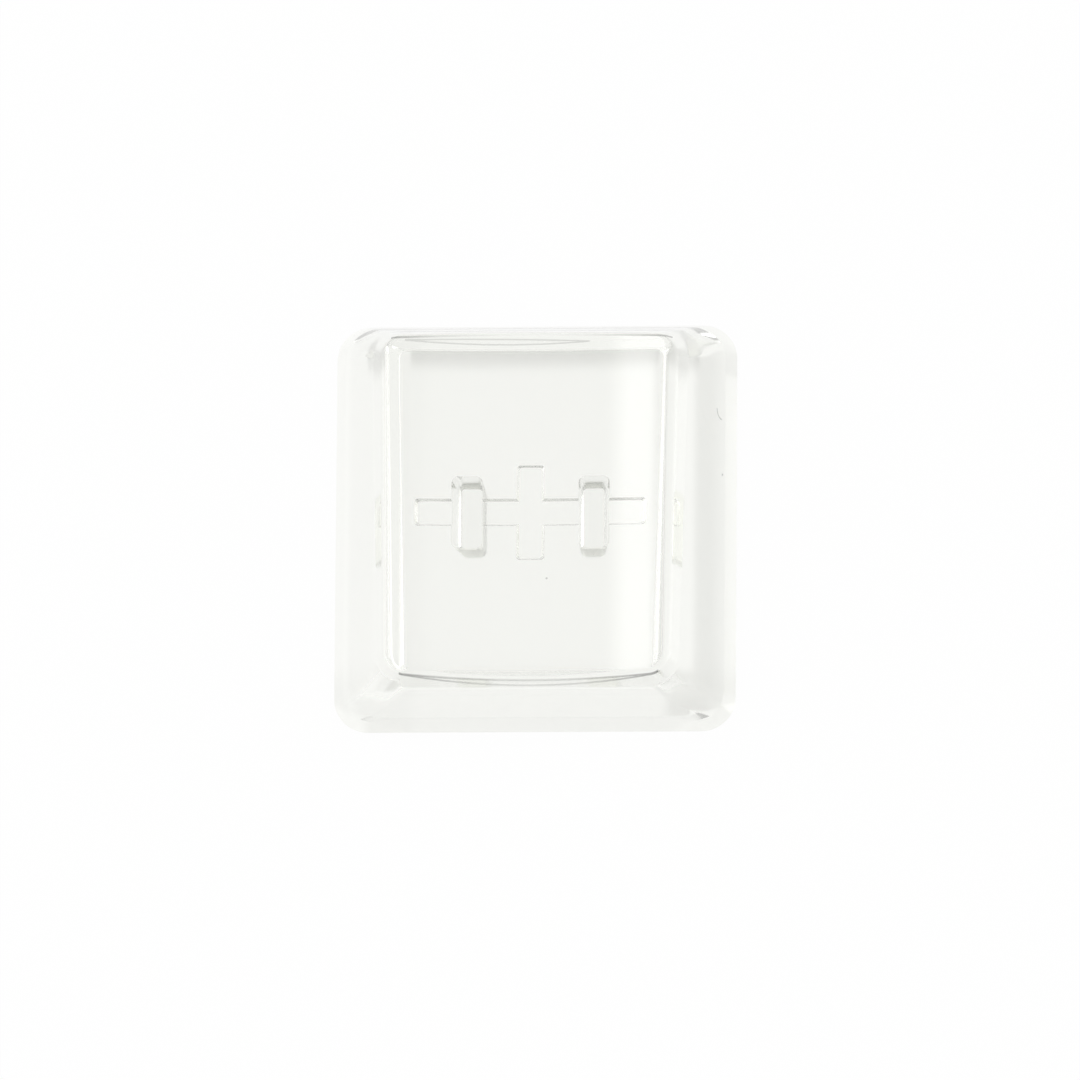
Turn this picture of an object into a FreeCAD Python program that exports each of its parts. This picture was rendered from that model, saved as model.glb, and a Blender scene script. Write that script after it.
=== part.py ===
import FreeCAD, Part
import math
import os

# Clear low-profile keycap, moulded in one piece, in millimetres.
# The origin is the middle of the rim plane, +Z is up and -Y is the end that the dish rises towards.

# Outer form
base_width = 17.5
base_depth = 18.0
base_corner_radius = 1.5
top_width = 12.4
top_depth = 14.9
top_corner_radius = 0.9
side_height = 5.8

# Finger dish: a round trough along Y, tipped so that the -Y end is higher
dish_depth = 0.87
dish_tilt_deg = 2.6
top_edge_radius = 0.3

# Hollow underneath: its ceiling runs parallel to the dish, and its height is taken in the middle
rim_wall = 1.05
ceiling_height = 3.0
ceiling_width = 11.6
ceiling_depth = 14.3
cavity_corner_radius = 0.4
cavity_edge_radius = 0.12

# Low ribs under the ceiling: a long bar along X and a short arm along Y
rib_height = 0.3
rib_flare = 0.1
rib_corner_radius = 0.12
bar_length = 10.2
bar_width = 1.0
arm_length = 4.0
arm_width = 1.05

# Two prongs that push into the switch slider, drafted and narrowed at the tip
prong_spacing = 5.7
prong_width = 1.2
prong_depth = 3.0
prong_draft = 0.1
prong_corner_radius = 0.3
prong_tip_side = 0.18
prong_tip_end = 0.22
prong_tip_height = 0.3
prong_tip_radius = 0.1
prong_recess = 0.15

# Overlap that lets cutting tools and fused pieces pass cleanly through a face
overrun = 0.5


def vector(x, y, z):
    """Return a point in the part's frame."""
    return FreeCAD.Vector(x, y, z)


def rounded_rectangle(width, depth, radius, height):
    """Return a closed wire: a rectangle with round corners, centred on the Z axis."""
    a = width / 2
    b = depth / 2
    diagonal = radius * (1 - math.sqrt(0.5))
    edges = []
    quarter_signs = [(1, 1), (-1, 1), (-1, -1), (1, -1)]
    for turn, (sx, sy) in enumerate(quarter_signs):
        along_y = vector(sx * a, sy * (b - radius), height)
        along_x = vector(sx * (a - radius), sy * b, height)
        middle = vector(sx * (a - diagonal), sy * (b - diagonal), height)
        start, end = (along_y, along_x) if turn % 2 == 0 else (along_x, along_y)
        if edges:
            edges.append(Part.LineSegment(edges[-1].lastVertex().Point, start).toShape())
        edges.append(Part.Arc(start, middle, end).toShape())
    edges.append(Part.LineSegment(edges[-1].lastVertex().Point, edges[0].firstVertex().Point).toShape())
    return Part.Wire(edges)


def tapered_block(low, high):
    """Return the straight-sided solid between two wires of like form."""
    return Part.makeLoft([low, high], True, True)


def blend(start, end, share):
    """Return the value a share of the way from start to end."""
    return start + (end - start) * share


# Outer block, carried on above the highest point of the dish
half_rise = top_depth / 2 * math.tan(math.radians(dish_tilt_deg))
block_height = side_height + half_rise + overrun
above = block_height / side_height
block = tapered_block(
    rounded_rectangle(base_width, base_depth, base_corner_radius, 0),
    rounded_rectangle(
        blend(base_width, top_width, above),
        blend(base_depth, top_depth, above),
        blend(base_corner_radius, top_corner_radius, above),
        block_height,
    ),
)

# Dish cut by a tipped cylinder
dish_radius = ((top_width / 2) ** 2 + dish_depth**2) / (2 * dish_depth)
dish_bottom = side_height - dish_depth
tilt = math.radians(dish_tilt_deg)
dish_axis = vector(0, math.cos(tilt), -math.sin(tilt))
dish_middle = vector(0, 0, dish_bottom + dish_radius / math.cos(tilt))
dish_start = dish_middle - dish_axis * base_depth
dish = Part.makeCylinder(dish_radius, 2 * base_depth, dish_start, dish_axis)
body = block.cut(dish)

# Rounded edge all round the dish
dish_face = next(face for face in body.Faces if isinstance(face.Surface, Part.Cylinder))
body = body.makeFillet(top_edge_radius, dish_face.Edges)

# Hollow with drafted walls, rounded in its four corners and round the ceiling
cavity_top = ceiling_height + half_rise + overrun
below = -overrun / ceiling_height
beyond = cavity_top / ceiling_height
shaft = tapered_block(
    rounded_rectangle(
        blend(base_width - 2 * rim_wall, ceiling_width, below),
        blend(base_depth - 2 * rim_wall, ceiling_depth, below),
        cavity_corner_radius,
        -overrun,
    ),
    rounded_rectangle(
        blend(base_width - 2 * rim_wall, ceiling_width, beyond),
        blend(base_depth - 2 * rim_wall, ceiling_depth, beyond),
        cavity_corner_radius,
        cavity_top,
    ),
)
under_ceiling = Part.makeBox(
    2 * base_width, 2 * base_depth, base_depth, vector(-base_width, -base_depth, -base_depth)
)
under_ceiling.rotate(vector(0, 0, 0), vector(1, 0, 0), -dish_tilt_deg)
under_ceiling.translate(vector(0, 0, ceiling_height))
cavity = shaft.common(under_ceiling)
ceiling = max(cavity.Faces, key=lambda face: face.CenterOfMass.z)
body = body.cut(cavity.makeFillet(cavity_edge_radius, ceiling.Edges))


def rib(length_x, length_y):
    """Return one rib that hangs under the ceiling, wider at its root, and reaches up into the plate."""
    top = rib_height + overrun
    widening = 2 * rib_flare * top / rib_height
    low = ceiling_height - rib_height
    return tapered_block(
        rounded_rectangle(length_x, length_y, rib_corner_radius, low),
        rounded_rectangle(length_x + widening, length_y + widening, rib_corner_radius, low + top),
    )


def prong(centre_x):
    """Return the two blocks of one prong: the narrowed tip, and the shank that reaches up into the plate."""
    shoulder = prong_recess + prong_tip_height
    length = ceiling_height - shoulder
    top = length + overrun
    widening = 2 * prong_draft * top / length
    tip = tapered_block(
        rounded_rectangle(
            prong_width - 2 * prong_tip_side,
            prong_depth - 2 * prong_tip_end,
            prong_tip_radius,
            prong_recess,
        ),
        rounded_rectangle(prong_width, prong_depth, prong_corner_radius, shoulder),
    )
    shank = tapered_block(
        rounded_rectangle(prong_width, prong_depth, prong_corner_radius, shoulder),
        rounded_rectangle(
            prong_width + widening, prong_depth + widening, prong_corner_radius, shoulder + top
        ),
    )
    blocks = [tip, shank]
    for block_of_prong in blocks:
        block_of_prong.translate(vector(centre_x, 0, 0))
    return blocks


stem = [
    rib(bar_length, bar_width),
    rib(arm_width, arm_length),
    *prong(-prong_spacing / 2),
    *prong(prong_spacing / 2),
]
keycap = body.multiFuse(stem).removeSplitter()

os.makedirs("parts", exist_ok=True)
keycap.exportStep("parts/keycap.step")
print("solids", len(keycap.Solids), "valid", keycap.isValid())
print("volume mm3", round(keycap.Volume, 2), "box", keycap.BoundBox)
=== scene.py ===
"""Clear one-piece keycap: dense moulded form, clear plastic finish, white studio."""
import logging
import math
from dataclasses import dataclass, field
from enum import Enum, IntEnum
from typing import Dict, List, Tuple, Union

import bpy
from mathutils import Matrix, Vector


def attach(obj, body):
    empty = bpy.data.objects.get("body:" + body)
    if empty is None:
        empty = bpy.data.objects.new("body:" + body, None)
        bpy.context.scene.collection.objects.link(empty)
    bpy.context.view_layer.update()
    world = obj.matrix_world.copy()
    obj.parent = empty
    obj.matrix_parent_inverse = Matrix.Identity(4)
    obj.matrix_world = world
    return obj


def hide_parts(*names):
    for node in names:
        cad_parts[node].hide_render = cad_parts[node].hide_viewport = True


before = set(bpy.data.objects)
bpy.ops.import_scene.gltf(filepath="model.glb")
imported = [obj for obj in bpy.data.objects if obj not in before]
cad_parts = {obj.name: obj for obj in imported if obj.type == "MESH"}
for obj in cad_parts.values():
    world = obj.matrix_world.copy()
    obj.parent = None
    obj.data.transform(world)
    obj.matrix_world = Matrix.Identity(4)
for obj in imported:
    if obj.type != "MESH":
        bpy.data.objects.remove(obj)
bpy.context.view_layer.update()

LOG = logging.getLogger("keycap")
MM = 0.001
QUARTER_TURN = math.pi / 2
PHOTO_SIDE_PX = 1080
WELD_DISTANCE = 0.0005 * MM
STEP_GUARD = 0.25
NARROW_RING_POWER = 0.01
SHARP_ANGLE_DEG = 28.0
LINE_CORE_SHARE = 0.35
NO_LIMIT = 100.0
WHITE = (1.0, 1.0, 1.0, 1.0)
BLACK = (0.0, 0.0, 0.0, 1.0)

Number = Union[float, "Scalar"]
Socket = bpy.types.NodeSocket


class Axis(IntEnum):
    """An axis of the cap, numbered as in a point's coordinates."""

    X = 0
    Y = 1
    Z = 2


class Side(Enum):
    """A side of the cap: the axis that it lies on, and which way along it."""

    LEFT = (Axis.X, -1.0)
    RIGHT = (Axis.X, 1.0)
    FRONT = (Axis.Y, -1.0)
    BACK = (Axis.Y, 1.0)

    @property
    def other_axis(self) -> Axis:
        """Return the level axis that runs along the side."""
        return Axis.Y if self.value[0] is Axis.X else Axis.X


class Scalar:
    """A number that flows through a node tree, with the usual arithmetic."""

    def __init__(self, rule: "Rule", socket: Socket) -> None:
        """Keep the tree and the socket that carries the number."""
        self.rule = rule
        self.socket = socket

    def __add__(self, other: Number) -> "Scalar":
        """Return the sum."""
        return self.rule.math("ADD", self, other)

    def __sub__(self, other: Number) -> "Scalar":
        """Return the difference."""
        return self.rule.math("SUBTRACT", self, other)

    def __rsub__(self, other: Number) -> "Scalar":
        """Return the difference, with this number taken away."""
        return self.rule.math("SUBTRACT", other, self)

    def __mul__(self, other: Number) -> "Scalar":
        """Return the product."""
        return self.rule.math("MULTIPLY", self, other)

    def __truediv__(self, other: Number) -> "Scalar":
        """Return the quotient."""
        return self.rule.math("DIVIDE", self, other)

    __radd__ = __add__
    __rmul__ = __mul__


class Arrow:
    """A vector that flows through a node tree, with the usual arithmetic."""

    def __init__(self, rule: "Rule", socket: Socket) -> None:
        """Keep the tree and the socket that carries the vector."""
        self.rule = rule
        self.socket = socket

    def __add__(self, other: "Arrow") -> "Arrow":
        """Return the sum."""
        return self.rule.vector_math("ADD", self, other)

    def __sub__(self, other: "Arrow") -> "Arrow":
        """Return the difference."""
        return self.rule.vector_math("SUBTRACT", self, other)

    def __mul__(self, factor: Number) -> "Arrow":
        """Return the vector made longer by a factor."""
        return self.rule.scaled(self, factor)

    def cross(self, other: "Arrow") -> "Arrow":
        """Return the cross product."""
        return self.rule.vector_math("CROSS_PRODUCT", self, other)

    def unit(self) -> "Arrow":
        """Return the vector at length one."""
        return self.rule.vector_math("NORMALIZE", self)

    def parts(self) -> Tuple[Scalar, Scalar, Scalar]:
        """Split the vector.

        Returns:
            The three components.
        """
        node = self.rule.node("ShaderNodeSeparateXYZ")
        self.rule.feed(node.inputs[0], self)
        return tuple(Scalar(self.rule, out) for out in node.outputs)


class Rule:
    """A Geometry Nodes tree that is written as arithmetic on named sizes."""

    def __init__(self, name: str) -> None:
        """Start an empty tree with one geometry output.

        Args:
            name: The tree's name.
        """
        self.tree = bpy.data.node_groups.new(name, "GeometryNodeTree")
        self.tree.interface.new_socket("Geometry", in_out="OUTPUT", socket_type="NodeSocketGeometry")
        self.entry = self.tree.nodes.new("NodeGroupInput")
        self.values: Dict[str, float] = {}
        across, along, _ = Arrow(self, self.node("GeometryNodeInputPosition").outputs[0]).parts()
        self.share = across + 0.5
        self.row = along + 0.5

    def size(self, name: str, value: float) -> Scalar:
        """Add a named input for one size.

        Args:
            name: The input's name.
            value: The size, in metres or radians.

        Returns:
            The size as a number in the tree.
        """
        item = self.tree.interface.new_socket(name, in_out="INPUT", socket_type="NodeSocketFloat")
        self.values[item.identifier] = value
        return Scalar(self, next(out for out in self.entry.outputs if out.identifier == item.identifier))

    def node(self, kind: str, **settings: object) -> bpy.types.Node:
        """Add a node and set its options.

        Args:
            kind: The node's type.
            settings: The options by name.

        Returns:
            The new node.
        """
        made = self.tree.nodes.new(kind)
        for name, value in settings.items():
            setattr(made, name, value)
        return made

    def feed(self, socket: Socket, value: object) -> None:
        """Link a value of the tree to a socket, or set the socket to a plain value.

        Args:
            socket: The input of a node.
            value: A number, vector or socket of the tree, or a plain value.
        """
        if isinstance(value, (Scalar, Arrow)):
            self.tree.links.new(value.socket, socket)
        elif isinstance(value, Socket):
            self.tree.links.new(value, socket)
        else:
            socket.default_value = value

    def math(self, operation: str, *terms: Number) -> Scalar:
        """Do one step of arithmetic on numbers.

        Args:
            operation: The kind of arithmetic.
            terms: The numbers it works on.

        Returns:
            The result.
        """
        node = self.node("ShaderNodeMath", operation=operation)
        for socket, term in zip(node.inputs, terms):
            self.feed(socket, term)
        return Scalar(self, node.outputs[0])

    def vector_math(self, operation: str, *terms: Arrow) -> Arrow:
        """Do one step of arithmetic on vectors.

        Args:
            operation: The kind of arithmetic.
            terms: The vectors it works on.

        Returns:
            The result.
        """
        node = self.node("ShaderNodeVectorMath", operation=operation)
        for socket, term in zip(node.inputs, terms):
            self.feed(socket, term)
        return Arrow(self, node.outputs[0])

    def scaled(self, arrow: Arrow, factor: Number) -> Arrow:
        """Make a vector longer.

        Args:
            arrow: The vector.
            factor: How many times as long it becomes.

        Returns:
            The longer vector.
        """
        node = self.node("ShaderNodeVectorMath", operation="SCALE")
        self.feed(node.inputs[0], arrow)
        self.feed(node.inputs["Scale"], factor)
        return Arrow(self, node.outputs[0])

    def arrow(self, x: Number, y: Number, z: Number) -> Arrow:
        """Put a vector together.

        Args:
            x: The component across the cap.
            y: The component along the cap.
            z: The component upwards.

        Returns:
            The vector.
        """
        node = self.node("ShaderNodeCombineXYZ")
        for socket, value in zip(node.inputs, (x, y, z)):
            self.feed(socket, value)
        return Arrow(self, node.outputs[0])

    def mix(self, start: Arrow, end: Arrow, share: Scalar) -> Arrow:
        """Return the vector a share of the way from start to end."""
        return start + (end - start) * share

    def patch(self, columns: int, rows: int, place: Arrow) -> Socket:
        """Make a sheet of quads and move each point by a rule.

        Args:
            columns: Quads along the first direction, which share counts from 0 to 1.
            rows: Quads along the second direction, which row counts from 0 to 1.
            place: Where a point goes, worked out from share and row.

        Returns:
            The sheet's geometry.
        """
        grid = self.node("GeometryNodeMeshGrid")
        for name, value in (("Size X", 1.0), ("Size Y", 1.0)):
            grid.inputs[name].default_value = value
        grid.inputs["Vertices X"].default_value = columns + 1
        grid.inputs["Vertices Y"].default_value = rows + 1
        moved = self.node("GeometryNodeSetPosition")
        self.feed(moved.inputs["Geometry"], grid.outputs["Mesh"])
        self.feed(moved.inputs["Position"], place)
        return moved.outputs["Geometry"]

    def weld(self, sheets: List[Socket]) -> Socket:
        """Join sheets along their shared borders into one closed skin.

        Args:
            sheets: The geometry of each sheet.

        Returns:
            The welded geometry.
        """
        joined = self.node("GeometryNodeJoinGeometry")
        for sheet in sheets:
            self.feed(joined.inputs[0], sheet)
        merged = self.node("GeometryNodeMergeByDistance")
        self.feed(merged.inputs["Geometry"], joined.outputs[0])
        merged.inputs["Distance"].default_value = WELD_DISTANCE
        return merged.outputs["Geometry"]

    def output(self, geometry: Socket, material: bpy.types.Material) -> None:
        """End the tree: real geometry with its material.

        Args:
            geometry: What the tree makes.
            material: The finish of all its faces.
        """
        realized = self.node("GeometryNodeRealizeInstances")
        self.feed(realized.inputs["Geometry"], geometry)
        dressed = self.node("GeometryNodeSetMaterial")
        self.feed(dressed.inputs["Geometry"], realized.outputs[0])
        dressed.inputs["Material"].default_value = material
        end = self.node("NodeGroupOutput")
        self.feed(end.inputs[0], dressed.outputs[0])

    def mesh_object(self, name: str) -> bpy.types.Object:
        """Run the tree once and keep its result as a plain mesh.

        Args:
            name: The new object's name.

        Returns:
            An object at the origin with the finished mesh and no modifier.
        """
        seed = bpy.data.objects.new(name + "_rule", bpy.data.meshes.new(name + "_rule"))
        bpy.context.scene.collection.objects.link(seed)
        modifier = seed.modifiers.new("rule", "NODES")
        modifier.node_group = self.tree
        for identifier, value in self.values.items():
            modifier[identifier] = value
        graph = bpy.context.evaluated_depsgraph_get()
        mesh = bpy.data.meshes.new_from_object(seed.evaluated_get(graph))
        bpy.data.objects.remove(seed)
        mesh.name = name
        made = bpy.data.objects.new(name, mesh)
        bpy.context.scene.collection.objects.link(made)
        return made


@dataclass(frozen=True)
class Section:
    """A level outline: a rectangle with round corners, as numbers in a tree."""

    half_width: Number
    half_depth: Number
    radius: Number
    height: Number


class Lap:
    """One trip round a rounded rectangle, corner by corner, in equal steps."""

    def __init__(self, rule: Rule, corner_steps: int, side_steps: int, forward: bool = True) -> None:
        """Work out where on the trip a point is.

        Args:
            rule: The tree, whose share says how far round the point is.
            corner_steps: Steps in each round corner.
            side_steps: Steps in each straight side.
            forward: True to go anticlockwise, seen from above.
        """
        self.rule = rule
        quarter_steps = corner_steps + side_steps
        self.steps = 4 * quarter_steps
        share = rule.share if forward else 1.0 - rule.share
        step = rule.math("ROUND", share * float(self.steps))
        quarter = rule.math("FLOOR", (step + STEP_GUARD) / float(quarter_steps))
        local = step - quarter * float(quarter_steps)
        bend = rule.math("MINIMUM", local, float(corner_steps)) / float(corner_steps)
        run = rule.math("MAXIMUM", local - float(corner_steps), 0.0) / float(side_steps)
        angle = (quarter + bend) * QUARTER_TURN
        here = (quarter + 0.5) * QUARTER_TURN
        following = (quarter + 1.5) * QUARTER_TURN
        self.sign_x = self._between("COSINE", here, following, run)
        self.sign_y = self._between("SINE", here, following, run)
        cosine = rule.math("COSINE", angle)
        sine = rule.math("SINE", angle)
        self.sideways = cosine * cosine
        self.outward = rule.arrow(cosine, sine, 0.0)
        self.onward = rule.arrow(sine * -1.0, cosine, 0.0)

    def _between(self, wave: str, here: Scalar, following: Scalar, run: Scalar) -> Scalar:
        """Find the side of the corner that the trip is at, or its place between two corners.

        Args:
            wave: COSINE for the side across the cap, SINE for the side along it.
            here: The direction of the corner that the trip is at or has left.
            following: The direction of the next corner.
            run: How far the trip is on the straight side between them, from 0 to 1.

        Returns:
            The side, from -1 to 1.
        """
        start = self.rule.math(wave, here)
        end = self.rule.math(wave, following)
        return (start + (end - start) * run) * math.sqrt(2.0)

    def ring(self, section: Section) -> Arrow:
        """Find the point of the trip on a section's outline.

        Args:
            section: The outline.

        Returns:
            The point.
        """
        x = self.sign_x * (section.half_width - section.radius)
        y = self.sign_y * (section.half_depth - section.radius)
        return self.rule.arrow(x, y, section.height) + self.outward * section.radius


class Wall:
    """A straight-sided skin between two sections, as a foot, a rise and an outward normal."""

    def __init__(self, lap: Lap, low: Section, high: Section) -> None:
        """Work out the wall's line at the lap's point.

        Args:
            lap: The trip round the wall.
            low: The lower outline.
            high: The upper outline.
        """
        self.foot = lap.ring(low)
        self.rise = lap.ring(high) - self.foot
        self.normal = lap.onward.cross(self.rise).unit()

    def inset_foot(self, distance: Number) -> Arrow:
        """Return the foot, moved square to the wall towards the inside."""
        return self.foot - self.normal * distance


@dataclass
class CapForm:
    """Sizes of the moulding in millimetres, and the rule that turns them into a mesh."""

    base_width: float = 17.5
    base_depth: float = 18.0
    base_corner_radius: float = 1.5
    top_width: float = 12.4
    top_depth: float = 14.9
    top_corner_radius: float = 0.9
    side_height: float = 5.8
    dish_depth: float = 0.87
    dish_tilt_deg: float = 2.6
    side_edge_radius: float = 0.5
    end_edge_radius: float = 0.22
    rim_wall: float = 1.05
    ceiling_height: float = 3.0
    ceiling_width: float = 11.6
    ceiling_depth: float = 14.3
    cavity_corner_radius: float = 0.4
    cavity_edge_radius: float = 0.12
    rib_height: float = 0.3
    rib_flare: float = 0.1
    bar_length: float = 10.2
    bar_width: float = 1.0
    arm_length: float = 4.0
    arm_width: float = 1.05
    rib_corner_radius: float = 0.12
    prong_spacing: float = 5.7
    prong_tip_width: float = 1.2
    prong_tip_depth: float = 3.0
    prong_draft: float = 0.1
    prong_corner_radius: float = 0.3
    prong_tip_side: float = 0.12
    prong_tip_end: float = 0.16
    prong_tip_height: float = 0.22
    prong_tip_radius: float = 0.15
    prong_recess: float = 0.15
    overlap: float = 0.3
    corner_steps: int = 18
    side_steps: int = 36
    dish_rows: int = 40
    edge_rows: int = 20
    wall_rows: int = 14
    rim_rows: int = 3
    ceiling_rows: int = 2
    rib_steps: Tuple[int, int] = (4, 1)
    prong_steps: Tuple[int, int] = (6, 1)
    sizes: Dict[str, Scalar] = field(default_factory=dict)

    def build(self, finish: bpy.types.Material) -> bpy.types.Object:
        """Make the moulding by its rule.

        Args:
            finish: The material of the whole moulding.

        Returns:
            The finished piece, at the origin.
        """
        rule = Rule("moulded_cap")
        for name in self.__dataclass_fields__:
            if isinstance(getattr(self, name), float):
                unit = math.pi / 180 if name.endswith("deg") else MM
                self.sizes[name] = rule.size(name.replace("_", " "), getattr(self, name) * unit)
        lap = Lap(rule, self.corner_steps, self.side_steps, forward=False)
        outer = self._outer_wall(lap)
        inner = self._inner_wall(lap)
        sheets = self._outer_sheets(rule, lap, outer)
        sheets += self._inner_sheets(rule, lap, outer, inner)
        union = rule.node("GeometryNodeMeshBoolean", operation="UNION", solver="MANIFOLD")
        for solid in [rule.weld(sheets), *self._ribs(rule), self._prongs(rule)]:
            rule.feed(union.inputs["Mesh 2"], solid)
        rule.output(union.outputs["Mesh"], finish)
        piece = rule.mesh_object("clear_keycap")
        piece.data.shade_smooth()
        piece.data.set_sharp_from_angle(angle=math.radians(SHARP_ANGLE_DEG))
        return piece

    def _outer_wall(self, lap: Lap) -> Wall:
        """Work out the outer wall.

        Args:
            lap: The trip round the cap.

        Returns:
            The wall at the lap's point.
        """
        s = self.sizes
        low = Section(s["base_width"] / 2.0, s["base_depth"] / 2.0, s["base_corner_radius"], 0.0)
        high = Section(
            s["top_width"] / 2.0, s["top_depth"] / 2.0, s["top_corner_radius"], s["side_height"]
        )
        return Wall(lap, low, high)

    def _inner_wall(self, lap: Lap) -> Wall:
        """Work out the wall of the hollow.

        Args:
            lap: The trip round the cap.

        Returns:
            The wall at the lap's point.
        """
        s = self.sizes
        low = Section(
            s["base_width"] / 2.0 - s["rim_wall"],
            s["base_depth"] / 2.0 - s["rim_wall"],
            s["cavity_corner_radius"],
            0.0,
        )
        high = Section(
            s["ceiling_width"] / 2.0,
            s["ceiling_depth"] / 2.0,
            s["cavity_corner_radius"],
            s["ceiling_height"],
        )
        return Wall(lap, low, high)

    def _outer_sheets(self, rule: Rule, lap: Lap, wall: Wall) -> List[Socket]:
        """Make the dish, the rounded edge and the outer wall.

        A ball that rolls between the dish and the wall rounds the edge. Its centre is where the
        wall, moved in by the ball's radius, meets the dish's trough, made wider by that radius.
        The ball is larger along the two sides than along the two ends.

        Args:
            rule: The tree.
            lap: The trip round the cap.
            wall: The outer wall.

        Returns:
            The geometry of each sheet.
        """
        half = self.sizes["top_width"] / 2.0
        sag = self.sizes["dish_depth"]
        radius = (half * half + sag * sag) / (sag * 2.0)
        cosine = rule.math("COSINE", self.sizes["dish_tilt_deg"])
        sine = rule.math("SINE", self.sizes["dish_tilt_deg"])
        axis_height = self.sizes["side_height"] - sag + radius / cosine
        end_ball = self.sizes["end_edge_radius"]
        ball = end_ball + (self.sizes["side_edge_radius"] - end_ball) * lap.sideways
        start = wall.inset_foot(ball)
        x, y, z = start.parts()
        rise_x, rise_y, rise_z = wall.rise.parts()
        below = y * sine + (z - axis_height) * cosine
        climb = rise_y * sine + rise_z * cosine
        a = rise_x * rise_x + climb * climb
        b = x * rise_x + below * climb
        c = x * x + below * below - (radius + ball) * (radius + ball)
        share = (b * -1.0 - rule.math("SQRT", b * b - a * c)) / a
        centre = start + wall.rise * share
        drop = (below + climb * share) * -1.0
        to_dish = rule.arrow((x + rise_x * share) * -1.0, drop * sine, drop * cosine).unit()

        spread = rule.math("SINE", rule.row * QUARTER_TURN)
        dish_x, dish_y, _ = ((centre + to_dish * ball) * spread).parts()
        depth = rule.math("SQRT", radius * radius - dish_x * dish_x)
        dish = rule.arrow(dish_x, dish_y, axis_height - (depth + dish_y * sine) / cosine)
        edge = centre + rule.mix(to_dish, wall.normal, rule.row).unit() * ball
        side = rule.mix(centre + wall.normal * ball, wall.foot, self._crowded(rule))
        return [
            rule.patch(lap.steps, self.dish_rows, dish),
            rule.patch(lap.steps, self.edge_rows, edge),
            rule.patch(lap.steps, self.wall_rows, side),
        ]

    def _crowded(self, rule: Rule) -> Scalar:
        """Return the row's share, with rows crowded near both ends."""
        return 0.5 - rule.math("COSINE", rule.row * math.pi) * 0.5

    def _inner_sheets(
        self, rule: Rule, lap: Lap, outer: Wall, inner: Wall
    ) -> List[Socket]:
        """Make the rim, the wall of the hollow, its rounded upper edge and the ceiling.

        The ceiling runs parallel to the dish.

        Args:
            rule: The tree.
            lap: The trip round the cap.
            outer: The outer wall.
            inner: The wall of the hollow.

        Returns:
            The geometry of each sheet.
        """
        ball = self.sizes["cavity_edge_radius"]
        height = self.sizes["ceiling_height"]
        cosine = rule.math("COSINE", self.sizes["dish_tilt_deg"])
        sine = rule.math("SINE", self.sizes["dish_tilt_deg"])
        slope = sine / cosine
        up = rule.arrow(0.0, sine, cosine)
        start = inner.inset_foot(ball)
        _, start_y, start_z = start.parts()
        _, rise_y, rise_z = inner.rise.parts()
        share = (height - ball / cosine - start_z - start_y * slope) / (rise_z + rise_y * slope)
        centre = start + inner.rise * share
        rim = rule.mix(outer.foot, inner.foot, rule.row)
        side = rule.mix(inner.foot, centre + inner.normal * ball, self._crowded(rule))
        edge = centre + rule.mix(inner.normal, up, rule.row).unit() * ball
        close_in = rule.math("POWER", 1.0 - rule.row, NARROW_RING_POWER)
        x, y, _ = ((centre + up * ball) * close_in).parts()
        ceiling = rule.arrow(x, y, height - y * slope)
        return [
            rule.patch(lap.steps, self.rim_rows, rim),
            rule.patch(lap.steps, self.wall_rows, side),
            rule.patch(lap.steps, self.edge_rows, edge),
            rule.patch(lap.steps, self.ceiling_rows, ceiling),
        ]

    def _post(self, rule: Rule, sections: List[Section], steps: Tuple[int, int]) -> Socket:
        """Make a closed straight-sided solid from a stack of sections.

        Args:
            rule: The tree.
            sections: The outlines from the lowest to the highest.
            steps: Steps in each round corner and in each straight side.

        Returns:
            The solid's geometry.
        """
        lap = Lap(rule, *steps)
        back = Lap(rule, *steps, forward=False)
        rings = [lap.ring(section) for section in sections]
        skins = [rule.mix(low, high, rule.row) for low, high in zip(rings, rings[1:])]
        flatten = rule.arrow(rule.row, rule.row, 1.0)
        skins.append(rule.vector_math("MULTIPLY", rings[0], flatten))
        skins.append(rule.vector_math("MULTIPLY", back.ring(sections[-1]), flatten))
        return rule.weld([rule.patch(lap.steps, 1, skin) for skin in skins])

    def _ribs(self, rule: Rule) -> List[Socket]:
        """Make the long bar and the short arm that stand under the ceiling.

        Args:
            rule: The tree.

        Returns:
            The geometry of each rib.
        """
        s = self.sizes
        flare = s["rib_flare"]
        ribs = []
        for length_x, length_y in (("bar_length", "bar_width"), ("arm_width", "arm_length")):
            half_x = s[length_x] / 2.0
            half_y = s[length_y] / 2.0
            radius = s["rib_corner_radius"]
            ceiling = s["ceiling_height"]
            low = Section(half_x, half_y, radius, ceiling - s["rib_height"])
            root = Section(half_x + flare, half_y + flare, radius, ceiling)
            top = Section(half_x + flare, half_y + flare, radius, ceiling + s["overlap"])
            ribs.append(self._post(rule, [low, root, top], self.rib_steps))
        return ribs

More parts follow.
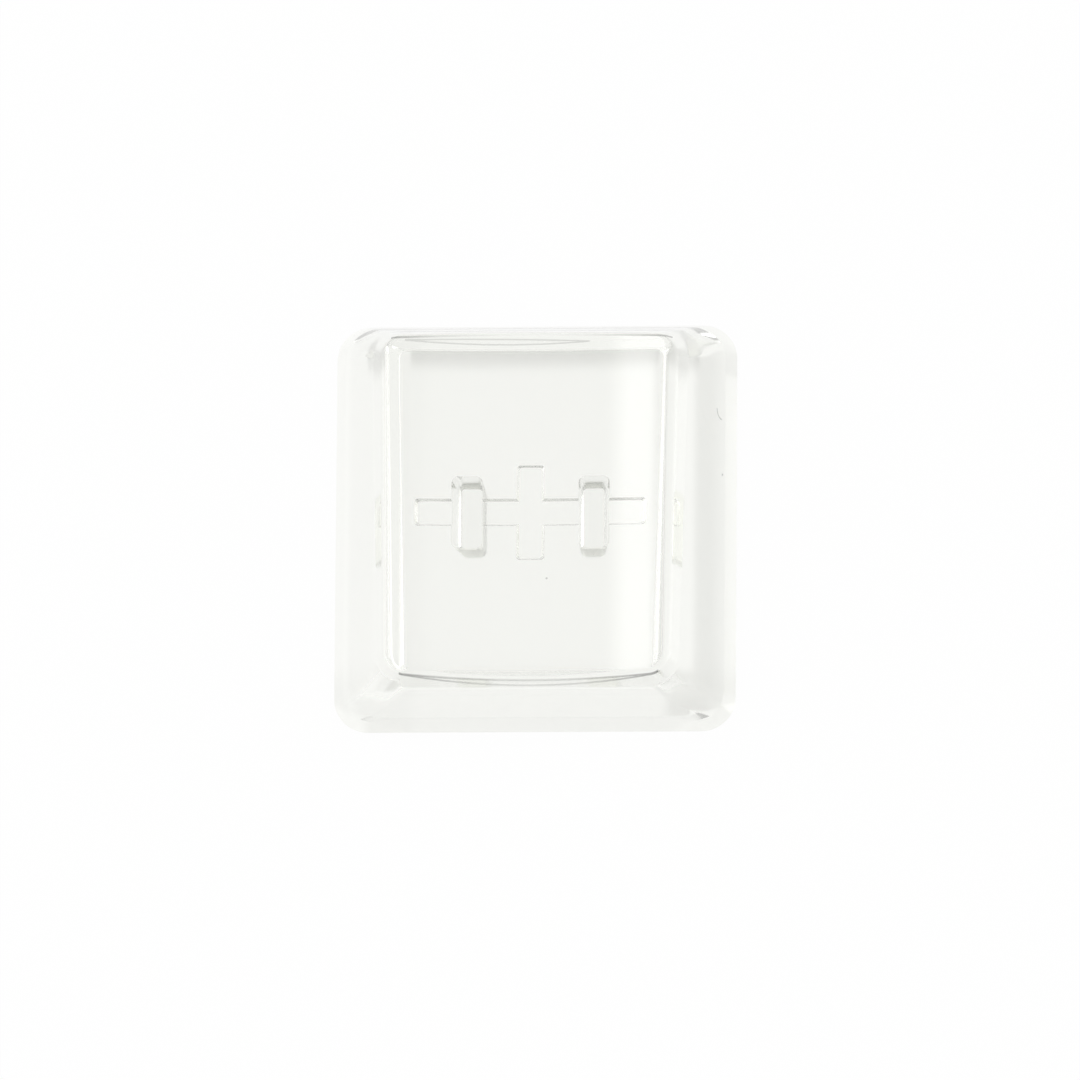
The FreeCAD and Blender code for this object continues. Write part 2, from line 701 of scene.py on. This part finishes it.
    def _prongs(self, rule: Rule) -> Socket:
        """Make one prong and set it twice, one on each side of the middle.

        Args:
            rule: The tree.

        Returns:
            The geometry of both prongs.
        """
        s = self.sizes
        recess = s["prong_recess"]
        half_x = s["prong_tip_width"] / 2.0
        half_y = s["prong_tip_depth"] / 2.0
        radius = s["prong_corner_radius"]
        tip = Section(
            half_x - s["prong_tip_side"], half_y - s["prong_tip_end"], s["prong_tip_radius"], recess
        )
        shoulder = Section(half_x, half_y, radius, recess + s["prong_tip_height"])
        draft = s["prong_draft"]
        root = Section(half_x + draft, half_y + draft, radius, s["ceiling_height"])
        top = Section(half_x + draft, half_y + draft, radius, s["ceiling_height"] + s["overlap"])
        prong = self._post(rule, [tip, shoulder, root, top], self.prong_steps)
        seats = rule.node("GeometryNodeMeshLine")
        seats.inputs["Count"].default_value = 2
        rule.feed(seats.inputs["Start Location"], rule.arrow(s["prong_spacing"] * -0.5, 0.0, 0.0))
        rule.feed(seats.inputs["Offset"], rule.arrow(s["prong_spacing"], 0.0, 0.0))
        placed = rule.node("GeometryNodeInstanceOnPoints")
        rule.feed(placed.inputs["Points"], seats.outputs[0])
        rule.feed(placed.inputs["Instance"], prong)
        realized = rule.node("GeometryNodeRealizeInstances")
        rule.feed(realized.inputs["Geometry"], placed.outputs[0])
        return realized.outputs[0]


class Shading:
    """The node tree of a material or the world, written as arithmetic on numbers."""

    def __init__(self, owner: Union[bpy.types.Material, bpy.types.World]) -> None:
        """Keep the tree of the material or the world.

        Args:
            owner: The material or the world that the numbers steer.
        """
        self.nodes = owner.node_tree.nodes
        self.links = owner.node_tree.links

    def math(self, operation: str, *terms: object) -> Socket:
        """Do one step of arithmetic on sockets and plain numbers.

        Args:
            operation: The kind of arithmetic.
            terms: The sockets and numbers it works on.

        Returns:
            The result.
        """
        node = self.nodes.new("ShaderNodeMath")
        node.operation = operation
        for socket, term in zip(node.inputs, terms):
            if isinstance(term, Socket):
                self.links.new(term, socket)
            else:
                socket.default_value = term
        return node.outputs[0]

    def ramp(self, value: Socket, start: float, end: float) -> Socket:
        """Make a soft step.

        Args:
            value: The number that the step follows.
            start: Where the step leaves 0.
            end: Where the step reaches 1.

        Returns:
            The step, from 0 to 1.
        """
        node = self.nodes.new("ShaderNodeMapRange")
        node.interpolation_type = "SMOOTHSTEP"
        self.links.new(value, node.inputs["Value"])
        node.inputs["From Min"].default_value = start
        node.inputs["From Max"].default_value = end
        return node.outputs[0]

    def joined(self, operation: str, terms: List[Socket]) -> Socket:
        """Bring terms together, one after the other.

        Args:
            operation: The kind of arithmetic.
            terms: The numbers to bring together.

        Returns:
            The result.
        """
        whole = terms[0]
        for term in terms[1:]:
            whole = self.math(operation, whole, term)
        return whole

    def reach(self, place: List[Socket], side: Side) -> Socket:
        """Return how far the point lies towards a side."""
        axis, sign = side.value
        return self.math("MULTIPLY", place[axis], sign)

    def near(self, distance: Socket, width: float) -> Socket:
        """Return 1 at no distance, fading out softly to 0 at a width on either side."""
        far = self.ramp(self.math("ABSOLUTE", distance), LINE_CORE_SHARE * width * MM, width * MM)
        return self.math("SUBTRACT", 1.0, far)

    def place(self) -> List[Socket]:
        """Find the point that is shaded, or in the world the direction that is looked in.

        Returns:
            The three object coordinates.
        """
        spot = self.nodes.new("ShaderNodeTexCoord")
        split = self.nodes.new("ShaderNodeSeparateXYZ")
        self.links.new(spot.outputs["Object"], split.inputs[0])
        return list(split.outputs)


@dataclass(frozen=True)
class PaintedRefractionLine:
    """A fine painted dark line that stands in for dark refraction along one curved end of the dish.

    It runs across the cap. Its place along a second axis bows from the value at its two ends.
    """

    side: Side
    axis: Axis
    centre: float
    half_length: float
    end: float
    bow: float
    width: float
    depth: float
    middle: float = 1.0
    least_reach: float = 7.0
    least_height: float = 4.2

    def mask(self, shading: Shading, place: List[Socket]) -> Socket:
        """Return how dark the line makes a point.

        Args:
            shading: The material's tree.
            place: The point's object coordinates.

        Returns:
            The depth on the line, 0 off it.
        """
        run = shading.math("SUBTRACT", place[Axis.X], self.centre * MM)
        run = shading.math("DIVIDE", run, self.half_length * MM)
        square = shading.math("MULTIPLY", run, run)
        rest = shading.math("SUBTRACT", 1.0, square)
        line = shading.math("MULTIPLY_ADD", rest, self.bow * MM, self.end * MM)
        dark = shading.near(shading.math("SUBTRACT", place[self.axis], line), self.width)
        swell = shading.math("MULTIPLY_ADD", square, 1.0 - self.middle, self.middle)
        gates = (
            shading.math("GREATER_THAN", rest, 0.0),
            shading.math("GREATER_THAN", shading.reach(place, self.side), self.least_reach * MM),
            shading.math("GREATER_THAN", place[Axis.Z], self.least_height * MM),
            swell,
        )
        for gate in gates:
            dark = shading.math("MULTIPLY", dark, gate)
        return shading.math("MULTIPLY", dark, self.depth)


@dataclass(frozen=True)
class Speck:
    """A small dark speck on the surface."""

    centre: Tuple[float, float, float]
    radius: float
    depth: float

    def mask(self, shading: Shading, place: List[Socket]) -> Socket:
        """Return how dark the speck makes a point.

        Args:
            shading: The material's tree.
            place: The point's object coordinates.

        Returns:
            The depth on the speck, 0 off it.
        """
        squares = []
        for value, middle in zip(place, self.centre):
            off = shading.math("SUBTRACT", value, middle * MM)
            squares.append(shading.math("MULTIPLY", off, off))
        away = shading.math("SQRT", shading.joined("ADD", squares))
        return shading.math("MULTIPLY", shading.near(away, self.radius), self.depth)


@dataclass(frozen=True)
class HookScratch:
    """A small hooked scratch on the right wall, a quarter of a ring seen square to that wall."""

    centre_y: float = 4.95
    centre_z: float = 1.35
    radius: float = 0.42
    least_x: float = 7.14
    width: float = 0.045
    depth: float = 0.6

    def mask(self, shading: Shading, place: List[Socket]) -> Socket:
        """Return how dark the scratch makes a point.

        Args:
            shading: The material's tree.
            place: The point's object coordinates.

        Returns:
            The depth on the scratch, 0 off it.
        """
        across = shading.math("SUBTRACT", self.centre_y * MM, place[Axis.Y])
        above = shading.math("SUBTRACT", place[Axis.Z], self.centre_z * MM)
        away = shading.math("MULTIPLY_ADD", above, above, shading.math("MULTIPLY", across, across))
        off = shading.math("SUBTRACT", shading.math("SQRT", away), self.radius * MM)
        dark = shading.near(off, self.width)
        outside = shading.math("SUBTRACT", place[Axis.X], self.least_x * MM)
        for value in (across, above, outside):
            dark = shading.math("MULTIPLY", dark, shading.math("GREATER_THAN", value, 0.0))
        return shading.math("MULTIPLY", dark, self.depth)


@dataclass(frozen=True)
class ClearPlastic:
    """Water-clear plastic with a faint warm tint, polished outside and satin in the hollow."""

    refraction: float = 1.49
    polish: float = 0.08
    satin: float = 0.15
    surface_tint: Tuple[float, float, float] = (0.985, 0.99, 0.955)
    body_tint: Tuple[float, float, float] = (0.60, 0.62, 0.56)
    body_density: float = 18.0
    polish_change: float = 0.03
    ripple: float = 0.0015
    ripple_scale: float = 220.0
    ripple_detail: float = 1.0
    # The edge lines are painted dark lines that stand in for refraction at the dish's ends; the specks
    # and the scratch are real flaws.
    marks: Tuple[Union[PaintedRefractionLine, Speck, HookScratch], ...] = (
        PaintedRefractionLine(
            side=Side.FRONT, axis=Axis.Z, centre=0.1, half_length=5.6,
            end=5.75, bow=-0.67, width=0.13, depth=0.88, middle=0.5,
        ),
        PaintedRefractionLine(
            side=Side.FRONT, axis=Axis.Z, centre=0.1, half_length=5.6,
            end=5.75, bow=-1.16, width=0.13, depth=0.88, middle=0.46,
        ),
        PaintedRefractionLine(
            side=Side.BACK, axis=Axis.Y, centre=0.1, half_length=6.1,
            end=7.43, bow=0.24, width=0.07, depth=0.75, middle=0.0,
        ),
        PaintedRefractionLine(
            side=Side.BACK, axis=Axis.Y, centre=-1.4, half_length=4.0,
            end=7.35, bow=0.12, width=0.05, depth=0.4,
        ),
        PaintedRefractionLine(
            side=Side.BACK, axis=Axis.Y, centre=-1.4, half_length=4.0,
            end=7.35, bow=-0.12, width=0.05, depth=0.4,
        ),
        Speck(centre=(8.19, 2.1, 1.28), radius=0.08, depth=0.5),
        Speck(centre=(0.81, -3.17, 5.09), radius=0.07, depth=0.5),
        HookScratch(),
    )

    def material(self, form: CapForm) -> bpy.types.Material:
        """Make the material.

        Args:
            form: The sizes of the moulding, which say where the hollow is.

        Returns:
            Clear plastic whose tint deepens with the thickness that is looked through.
        """
        made = bpy.data.materials.new("clear_plastic")
        made.use_nodes = True
        shading = Shading(made)
        shader = shading.nodes["Principled BSDF"]
        shader.inputs["Transmission Weight"].default_value = 1.0
        shader.inputs["IOR"].default_value = self.refraction
        shading.links.new(self._tint(shading), shader.inputs["Base Color"])
        ripple = self._ripple(shading)
        inside = self._inside(shading, form)
        rough = shading.math("MULTIPLY_ADD", inside, self.satin - self.polish, self.polish)
        rough = shading.math("MULTIPLY_ADD", ripple, self.polish_change, rough)
        shading.links.new(rough, shader.inputs["Roughness"])
        bump = shading.nodes.new("ShaderNodeBump")
        bump.inputs["Strength"].default_value = 1.0
        bump.inputs["Distance"].default_value = self.ripple * MM
        shading.links.new(ripple, bump.inputs["Height"])
        shading.links.new(bump.outputs["Normal"], shader.inputs["Normal"])
        body = shading.nodes.new("ShaderNodeVolumeAbsorption")
        body.inputs["Color"].default_value = (*self.body_tint, 1.0)
        body.inputs["Density"].default_value = self.body_density
        shading.links.new(body.outputs["Volume"], shading.nodes["Material Output"].inputs["Volume"])
        return made

    def _tint(self, shading: Shading) -> Socket:
        """Colour the surface.

        Args:
            shading: The material's tree.

        Returns:
            The tint, darker on the painted lines, the specks and the scratch.
        """
        place = shading.place()
        dark = shading.joined("MAXIMUM", [mark.mask(shading, place) for mark in self.marks])
        mix = shading.nodes.new("ShaderNodeMixRGB")
        mix.inputs["Color1"].default_value = (*self.surface_tint, 1.0)
        mix.inputs["Color2"].default_value = BLACK
        shading.links.new(dark, mix.inputs["Fac"])
        return mix.outputs[0]

    def _ripple(self, shading: Shading) -> Socket:
        """Make the faint slow ripple of the moulded faces.

        Args:
            shading: The material's tree.

        Returns:
            The ripple, from -0.5 to 0.5.
        """
        noise = shading.nodes.new("ShaderNodeTexNoise")
        spot = shading.nodes.new("ShaderNodeTexCoord")
        shading.links.new(spot.outputs["Object"], noise.inputs["Vector"])
        noise.inputs["Scale"].default_value = self.ripple_scale
        noise.inputs["Detail"].default_value = self.ripple_detail
        return shading.math("SUBTRACT", noise.outputs[0], 0.5)

    def _inside(self, shading: Shading, form: CapForm) -> Socket:
        """Tell the satin faces from the polished ones.

        Args:
            shading: The material's tree.
            form: The sizes of the moulding.

        Returns:
            1 on the ceiling and the stem, 0 on the walls and the outer faces.
        """
        x, y, z = shading.place()
        middle = (form.ceiling_height + form.side_height - form.dish_depth) / 2
        limits = (
            (shading.math("ABSOLUTE", x), form.ceiling_width / 2 + form.cavity_edge_radius),
            (shading.math("ABSOLUTE", y), form.ceiling_depth / 2 + form.cavity_edge_radius),
            (z, middle),
        )
        beyond = [shading.math("SUBTRACT", value, limit * MM) for value, limit in limits]
        furthest = shading.joined("MAXIMUM", beyond)
        return shading.math("LESS_THAN", furthest, 0.0)


@dataclass(frozen=True)
class SoftBox:
    """One rectangular soft box that faces the cap, with two sides along the cap's depth."""

    name: str
    angle_deg: float
    back: float
    width: float
    depth: float
    radiance: float
    distance: float = 0.8
    sheets: int = 1
    sheet_step: float = 0.0
    sheet_gap: float = 0.002

    def build(self) -> None:
        """Hang the box, turned from straight overhead towards one side.

        Its light comes from sheets behind each other. Each sheet is narrower than the one before
        at the upper edge, so that this edge is soft.
        """
        turn = Matrix.Rotation(math.radians(self.angle_deg), 4, "Y")
        for number in range(self.sheets):
            width = self.width - number * self.sheet_step
            lamp = bpy.data.lights.new(self.name, "AREA")
            lamp.shape = "RECTANGLE"
            lamp.size = width
            lamp.size_y = self.depth
            lamp.energy = self.radiance / self.sheets * math.pi * width * self.depth
            sheet = bpy.data.objects.new(self.name, lamp)
            middle = (-number * self.sheet_step / 2, self.back, self.distance + number * self.sheet_gap)
            sheet.matrix_world = turn @ Matrix.Translation(middle)
            bpy.context.scene.collection.objects.link(sheet)


@dataclass(frozen=True)
class PaintedFloorShade:
    """Painted shade on the floor towards one side of the cap; a negative amount paints light."""

    side: Side
    start: float
    end: float
    amount: float
    limit: float = NO_LIMIT
    half_span: float = NO_LIMIT

    def mask(self, shading: Shading, place: List[Socket]) -> Socket:
        """Return how much painted shade darkens the floor at a point.

        Args:
            shading: The floor material's tree.
            place: The point's object coordinates.

        Returns:
            The amount, fading in from the start to the end and cut off at the limits.
        """
        reach = shading.reach(place, self.side)
        aside = shading.math("ABSOLUTE", place[self.side.other_axis])
        dark = shading.ramp(reach, self.start * MM, self.end * MM)
        for distance, limit in ((reach, self.limit), (aside, self.half_span)):
            within = shading.math("LESS_THAN", distance, limit * MM)
            dark = shading.math("MULTIPLY", dark, within)
        return shading.math("MULTIPLY", dark, self.amount)


@dataclass(frozen=True)
class Studio:
    """White floor, soft light and the camera."""

    lean_x: float = 0.065
    lean_y: float = 0.19
    roll_deg: float = 0.4
    distance: float = 0.6
    px_per_mm: float = 22.95
    centre_px: Tuple[float, float] = (536.0, 528.8)
    floor_gap: float = 0.03 * MM
    floor_side: float = 0.06
    camera_glow: float = 0.985
    cap_glow: float = 0.925
    # Painted shade on the floor, and painted light where an amount is negative, seen only through the
    # cap and in its reflections.
    shades: Tuple[PaintedFloorShade, ...] = (
        PaintedFloorShade(side=Side.BACK, start=6.65, end=7.55, amount=0.34, limit=7.95, half_span=6.0),
        PaintedFloorShade(side=Side.BACK, start=7.95, end=8.0, amount=-0.05, limit=8.8),
        PaintedFloorShade(side=Side.BACK, start=8.8, end=9.2, amount=0.08),
        PaintedFloorShade(side=Side.RIGHT, start=5.4, end=6.1, amount=0.27, half_span=7.7),
        PaintedFloorShade(side=Side.RIGHT, start=6.6, end=7.9, amount=-0.18, half_span=7.7),
        PaintedFloorShade(side=Side.FRONT, start=5.6, end=7.2, amount=0.09),
        PaintedFloorShade(side=Side.FRONT, start=7.6, end=8.0, amount=-0.09),
        PaintedFloorShade(side=Side.LEFT, start=4.9, end=5.8, amount=0.06),
        PaintedFloorShade(side=Side.LEFT, start=7.1, end=7.6, amount=-0.11),
    )
    surround: float = 0.55
    horizon: float = 1.2
    horizon_sine: float = 0.15
    surround_sine: float = 0.4
    boxes: Tuple[SoftBox, ...] = (
        SoftBox(
            name="left_box", angle_deg=-29.9, back=0.22, width=0.236, depth=0.36, radiance=2.6,
            sheets=4, sheet_step=0.0145,
        ),
        SoftBox(name="left_fill", angle_deg=-61.5, back=0.0, width=0.70, depth=0.8, radiance=1.0),
        SoftBox(name="right_box", angle_deg=60.0, back=0.10, width=0.70, depth=0.8, radiance=0.5),
    )
    paper: float = 0.92
    sensor_width: float = 36.0
    light_depth: int = 40

    def build(self) -> None:
        """Set up the floor, the light and the camera."""
        self._floor()
        self._world()
        self._lamps()
        self._camera()
        self._light_depth()

    def _light_depth(self) -> None:
        """Let light run on through the clear plastic until it gets out."""
        cycles = bpy.context.scene.cycles
        for limit in ("max_bounces", "glossy_bounces", "transmission_bounces"):
            setattr(cycles, limit, self.light_depth)

    def _camera(self) -> None:
        """Look down at the cap, a little from the front and the right."""
        toward = Vector((self.lean_x, -self.lean_y, math.sqrt(1 - self.lean_x**2 - self.lean_y**2)))
        roll = math.radians(self.roll_deg)
        hint = Vector((-math.sin(roll), math.cos(roll), 0.0))
        right = hint.cross(toward).normalized()
        up = toward.cross(right)
        metres_per_px = MM / self.px_per_mm
        middle = PHOTO_SIDE_PX / 2
        aim = right * ((middle - self.centre_px[0]) * metres_per_px)
        aim -= up * ((middle - self.centre_px[1]) * metres_per_px)
        lens = bpy.data.cameras.new("camera")
        lens.sensor_width = self.sensor_width
        lens.lens = self.sensor_width * self.distance / (PHOTO_SIDE_PX * metres_per_px)
        eye = bpy.data.objects.new("camera", lens)
        turn = Matrix((right, up, toward)).transposed().to_4x4()
        eye.matrix_world = Matrix.Translation(aim + toward * self.distance) @ turn
        bpy.context.scene.collection.objects.link(eye)
        bpy.context.scene.camera = eye

    def _glow_share(self, shading: Shading) -> Socket:
        """Return how much of the floor glows for a ray.

        Args:
            shading: The floor material's tree.

        Returns:
            A large share for the camera, a smaller one by reflection or through the cap, else none.
        """
        path = shading.nodes.new("ShaderNodeLightPath").outputs
        by_cap = shading.math("MAXIMUM", path["Is Glossy Ray"], path["Is Transmission Ray"])
        # The share seen by reflection or through the cap carries the painted shade.
        seen = shading.math("MULTIPLY", by_cap, self._painted_shade(shading))
        return shading.math("MULTIPLY_ADD", path["Is Camera Ray"], self.camera_glow, seen)

    def _painted_shade(self, shading: Shading) -> Socket:
        """Work out the floor's glow under the painted shade and painted light of the floor shades.

        Args:
            shading: The floor material's tree.

        Returns:
            The share of the floor that glows.
        """
        place = shading.place()
        dark = shading.joined("ADD", [shade.mask(shading, place) for shade in self.shades])
        return shading.math("MULTIPLY_ADD", dark, -self.cap_glow, self.cap_glow)

    def _floor(self) -> None:
        """Lay a white floor just under the rim."""
        half = self.floor_side / 2
        corners = [(-half, -half), (half, -half), (half, half), (-half, half)]
        mesh = bpy.data.meshes.new("floor")
        mesh.from_pydata([(x, y, -self.floor_gap) for x, y in corners], [], [(0, 1, 2, 3)])
        floor = bpy.data.objects.new("floor", mesh)
        bpy.context.scene.collection.objects.link(floor)
        white = bpy.data.materials.new("white_floor")
        white.use_nodes = True
        shading = Shading(white)
        nodes = shading.nodes
        links = shading.links
        nodes.remove(nodes["Principled BSDF"])
        paper = nodes.new("ShaderNodeBsdfDiffuse")
        paper.inputs["Color"].default_value = (*(self.paper,) * 3, 1.0)
        glow = nodes.new("ShaderNodeEmission")
        glow.inputs["Strength"].default_value = 1.0
        mix = nodes.new("ShaderNodeMixShader")
        links.new(self._glow_share(shading), mix.inputs[0])
        links.new(paper.outputs[0], mix.inputs[1])
        links.new(glow.outputs[0], mix.inputs[2])
        links.new(mix.outputs[0], nodes["Material Output"].inputs["Surface"])
        mesh.materials.append(white)

    def _world(self) -> None:
        """Surround the stage with soft grey light, brighter near the horizon, white to the camera."""
        world = bpy.data.worlds.new("studio")
        bpy.context.scene.world = world
        world.use_nodes = True
        shading = Shading(world)
        nodes = shading.nodes
        links = shading.links
        height = shading.math("ABSOLUTE", shading.place()[Axis.Z])
        above = shading.ramp(height, self.horizon_sine, self.surround_sine)
        level = shading.math("MULTIPLY_ADD", above, self.surround - self.horizon, self.horizon)
        nodes["Background"].inputs["Color"].default_value = WHITE
        links.new(level, nodes["Background"].inputs["Strength"])
        path = nodes.new("ShaderNodeLightPath")
        white = nodes.new("ShaderNodeBackground")
        white.inputs["Color"].default_value = WHITE
        mix = nodes.new("ShaderNodeMixShader")
        links.new(path.outputs["Is Camera Ray"], mix.inputs[0])
        links.new(nodes["Background"].outputs[0], mix.inputs[1])
        links.new(white.outputs[0], mix.inputs[2])
        links.new(mix.outputs[0], nodes["World Output"].inputs["Surface"])

    def _lamps(self) -> None:
        """Hang a bright soft box at the left and a weaker, wider one at each side."""
        for box in self.boxes:
            box.build()


def main() -> None:
    """Build the cap and the studio, and report each piece."""
    logging.basicConfig(level=logging.INFO, format="%(name)s: %(message)s")
    bpy.context.scene.view_settings.view_transform = "Standard"
    form = CapForm()
    cap = form.build(ClearPlastic().material(form))
    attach(cap, "root")
    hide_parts("keycap")
    LOG.info("%s: %d faces", cap.name, len(cap.data.polygons))
    Studio().build()


if __name__ == "__main__":
    main()
